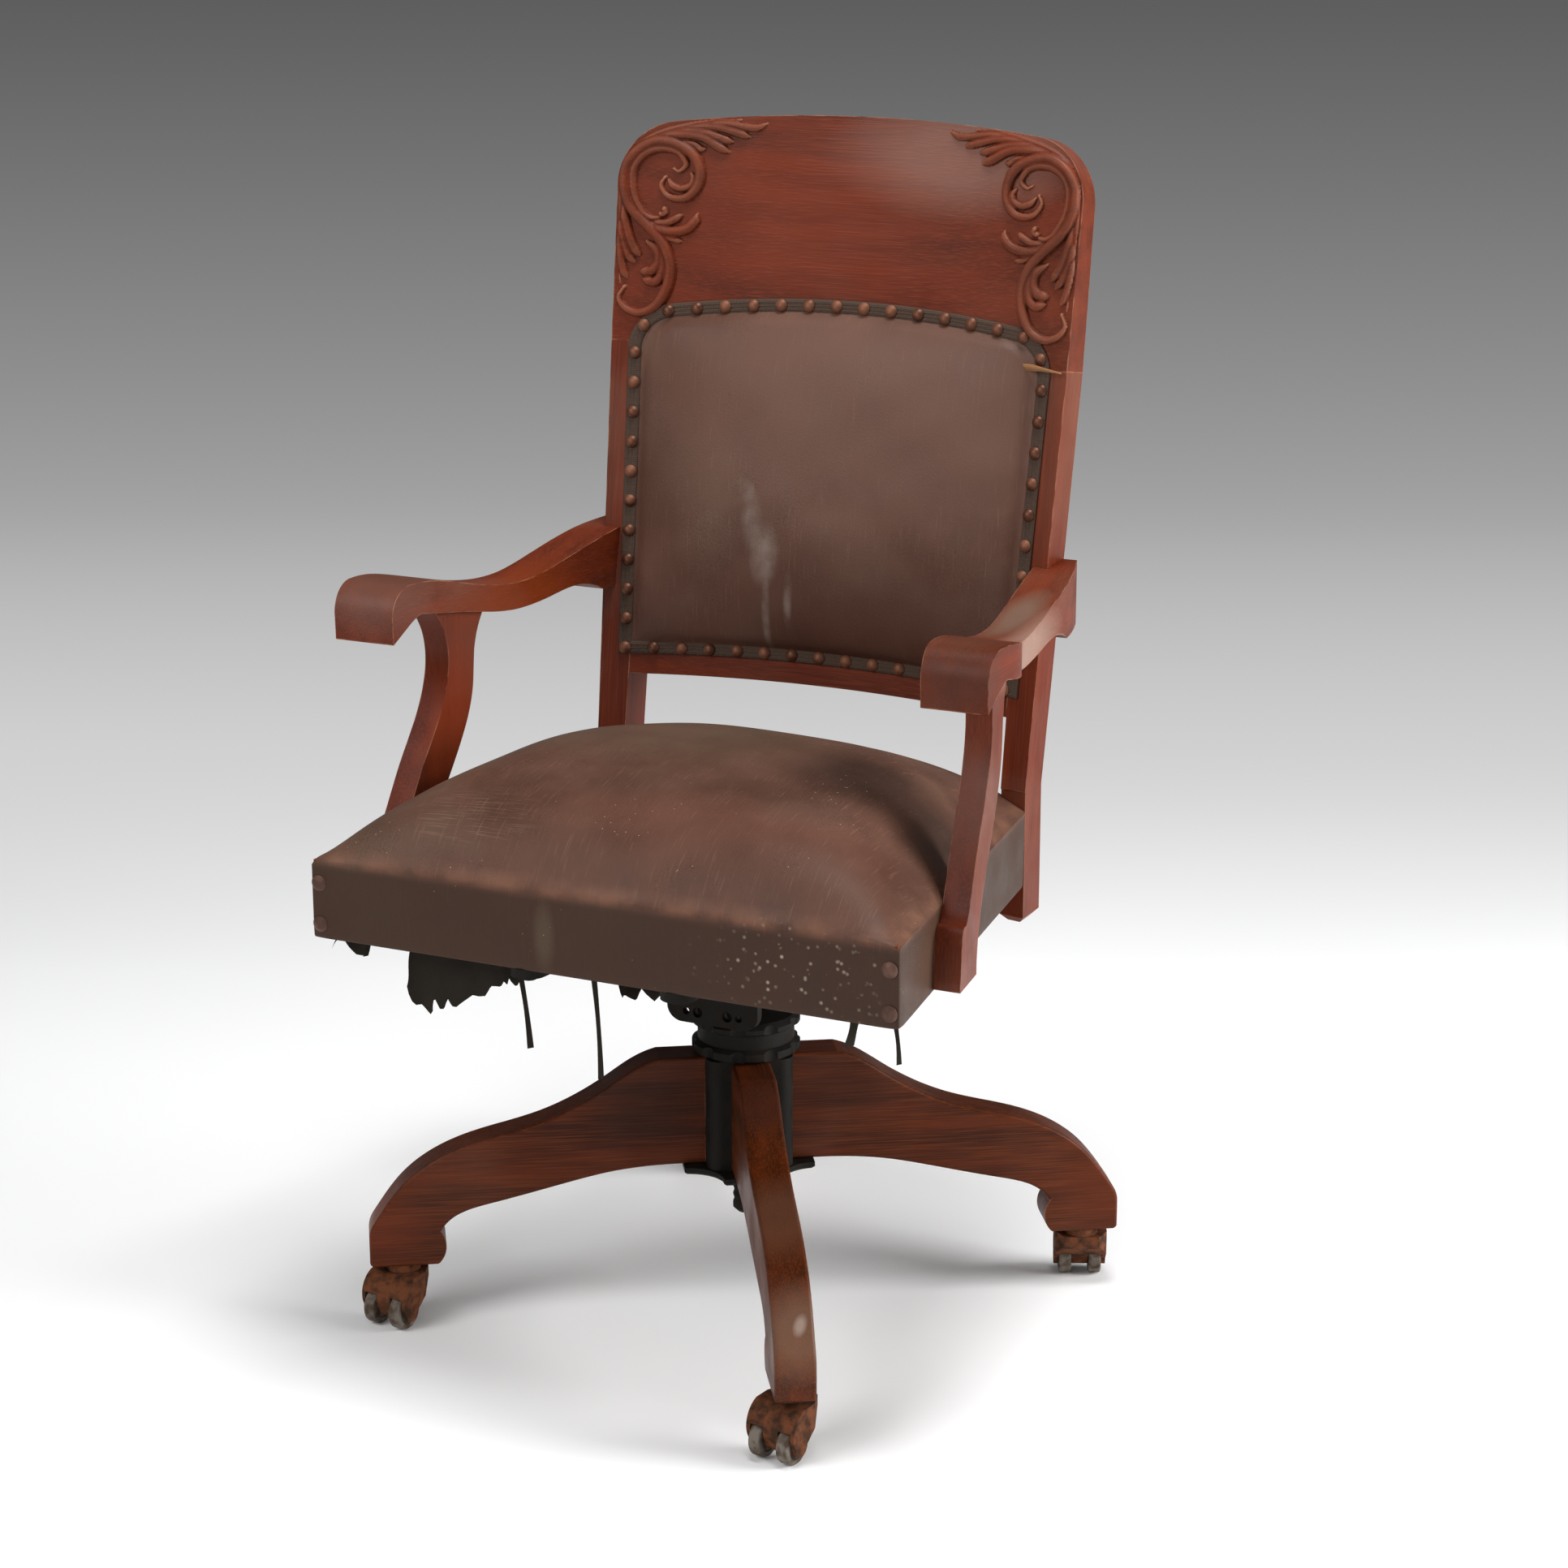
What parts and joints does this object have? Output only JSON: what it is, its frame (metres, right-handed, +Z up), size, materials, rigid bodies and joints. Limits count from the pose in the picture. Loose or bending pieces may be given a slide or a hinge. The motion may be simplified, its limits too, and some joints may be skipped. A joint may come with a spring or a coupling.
{
  "type": "swivel office armchair",
  "caption": "Antique oak swivel office armchair: carved crest, nailed leather back, domed leather seat, curved arms, tilting sprung head, screw height post and four-leg caster base.",
  "frame": {"origin": "on the floor, on the swivel axis", "axes": "+Z up along the swivel axis, the sitter faces -Y, +X to the right of someone facing the chair"},
  "size_m": [0.588, 0.5785, 1.0151],
  "materials": {
    "oak": "worn red-brown varnish",
    "leather": "crazed dark brown leather",
    "braid": "woven olive-brown braid",
    "webbing": "jute",
    "black_cloth": "torn black cambric",
    "brass": "tarnished",
    "spring_steel": "oiled, dull",
    "black_iron": "black japan, greasy",
    "rusty_iron": "rust",
    "wheel_iron": "worn grey"
  },
  "bodies": {
    "base": {"hub_casting": "black_iron", "hub_lip_plate": "black_iron", "leg_screws": "black_iron", "leg_right": "oak", "leg_back": "oak", "leg_left": "oak", "leg_front": "oak", "caster_collars": "rusty_iron"},
    "handwheel": {"height_handwheel": "black_iron"},
    "spindle": {"height_spindle": "black_iron", "thrust_washer": "black_iron"},
    "head": {"tilt_yoke": "black_iron", "tilt_spring_left": "spring_steel", "tilt_spring_right": "spring_steel"},
    "seat": {"seat_iron": "black_iron", "iron_screws": "black_iron", "pivot_pin": "black_iron", "seat_front_rail": "oak", "seat_rear_rail": "oak", "seat_left_rail": "oak", "seat_right_rail": "oak", "corner_blocks": "oak", "seat_webbing": "webbing", "seat_springs": "spring_steel", "seat_cushion": "leather", "seat_studs": "brass", "dust_cover": "black_cloth", "back_pad": "leather", "back_braid": "braid", "back_nails": "brass", "back_liner": "webbing", "outside_back": "leather", "outside_back_tacks": "brass", "post_left": "oak", "post_right": "oak", "crest_rail": "oak", "lower_back_rail": "oak", "arm_right": "oak", "arm_left": "oak", "arm_support_right": "oak", "arm_support_left": "oak", "support_screws": "black_iron"},
    "caster_right": {"caster_fork_right": "rusty_iron", "caster_axle_right": "rusty_iron"},
    "wheel_right_a": {"caster_wheel_right_a": "wheel_iron"},
    "wheel_right_b": {"caster_wheel_right_b": "wheel_iron"},
    "caster_back": {"caster_fork_back": "rusty_iron", "caster_axle_back": "rusty_iron"},
    "wheel_back_a": {"caster_wheel_back_a": "wheel_iron"},
    "wheel_back_b": {"caster_wheel_back_b": "wheel_iron"},
    "caster_left": {"caster_fork_left": "rusty_iron", "caster_axle_left": "rusty_iron"},
    "wheel_left_a": {"caster_wheel_left_a": "wheel_iron"},
    "wheel_left_b": {"caster_wheel_left_b": "wheel_iron"},
    "caster_front": {"caster_fork_front": "rusty_iron", "caster_axle_front": "rusty_iron"},
    "wheel_front_a": {"caster_wheel_front_a": "wheel_iron"},
    "wheel_front_b": {"caster_wheel_front_b": "wheel_iron"}
  },
  "joints": [
    {"name": "handwheel_turn", "type": "hinge", "parent": "base", "child": "handwheel", "pos_m": [0, 0, 0.253], "axis": [0, 0, 1], "range_deg": [0, 3150]},
    {"name": "height_slide", "type": "slide", "parent": "base", "child": "spindle", "axis": [0, 0, 1], "range_m": [0, 0.0701]},
    {"name": "seat_swivel", "type": "hinge", "parent": "spindle", "child": "head", "pos_m": [0, 0, 0.31], "axis": [0, 0, 1], "continuous": true},
    {"name": "seat_tilt", "type": "hinge", "parent": "head", "child": "seat", "pos_m": [0, 0, 0.347], "axis": [-1, 0, 0], "range_deg": [0, 15], "stiffness_Nm_per_rad": 70, "springref_deg": -25.78, "deforming": ["tilt_spring_left", "tilt_spring_right"]},
    {"name": "caster_right_swivel", "type": "hinge", "parent": "base", "child": "caster_right", "pos_m": [0.25129, 0.1657, 0.05], "axis": [0, 0, 1], "continuous": true},
    {"name": "wheel_right_a_spin", "type": "hinge", "parent": "caster_right", "child": "wheel_right_a", "pos_m": [0.24326, 0.18291, 0.016], "axis": [-0.9063, -0.4226, 0], "continuous": true},
    {"name": "wheel_right_b_spin", "type": "hinge", "parent": "caster_right", "child": "wheel_right_b", "pos_m": [0.24326, 0.18291, 0.016], "axis": [-0.9063, -0.4226, 0], "continuous": true},
    {"name": "caster_back_swivel", "type": "hinge", "parent": "base", "child": "caster_back", "pos_m": [-0.1657, 0.25129, 0.05], "axis": [0, 0, 1], "continuous": true},
    {"name": "wheel_back_a_spin", "type": "hinge", "parent": "caster_back", "child": "wheel_back_a", "pos_m": [-0.1562, 0.26774, 0.016], "axis": [-0.866, 0.5, 0], "continuous": true},
    {"name": "wheel_back_b_spin", "type": "hinge", "parent": "caster_back", "child": "wheel_back_b", "pos_m": [-0.1562, 0.26774, 0.016], "axis": [-0.866, 0.5, 0], "continuous": true},
    {"name": "caster_left_swivel", "type": "hinge", "parent": "base", "child": "caster_left", "pos_m": [-0.25129, -0.1657, 0.05], "axis": [0, 0, 1], "continuous": true},
    {"name": "wheel_left_a_spin", "type": "hinge", "parent": "caster_left", "child": "wheel_left_a", "pos_m": [-0.25294, -0.18462, 0.016], "axis": [0.9962, -0.0872, 0], "continuous": true},
    {"name": "wheel_left_b_spin", "type": "hinge", "parent": "caster_left", "child": "wheel_left_b", "pos_m": [-0.25294, -0.18462, 0.016], "axis": [0.9962, -0.0872, 0], "continuous": true},
    {"name": "caster_front_swivel", "type": "hinge", "parent": "base", "child": "caster_front", "pos_m": [0.1657, -0.25129, 0.05], "axis": [0, 0, 1], "continuous": true},
    {"name": "wheel_front_a_spin", "type": "hinge", "parent": "caster_front", "child": "wheel_front_a", "pos_m": [0.16305, -0.2701, 0.016], "axis": [0.9903, -0.1392, 0], "continuous": true},
    {"name": "wheel_front_b_spin", "type": "hinge", "parent": "caster_front", "child": "wheel_front_b", "pos_m": [0.16305, -0.2701, 0.016], "axis": [0.9903, -0.1392, 0], "continuous": true}
  ],
  "couplings": [
    {"joint": "height_slide", "follows": "handwheel_turn", "m_per_rad": 0.0012732}
  ]
}
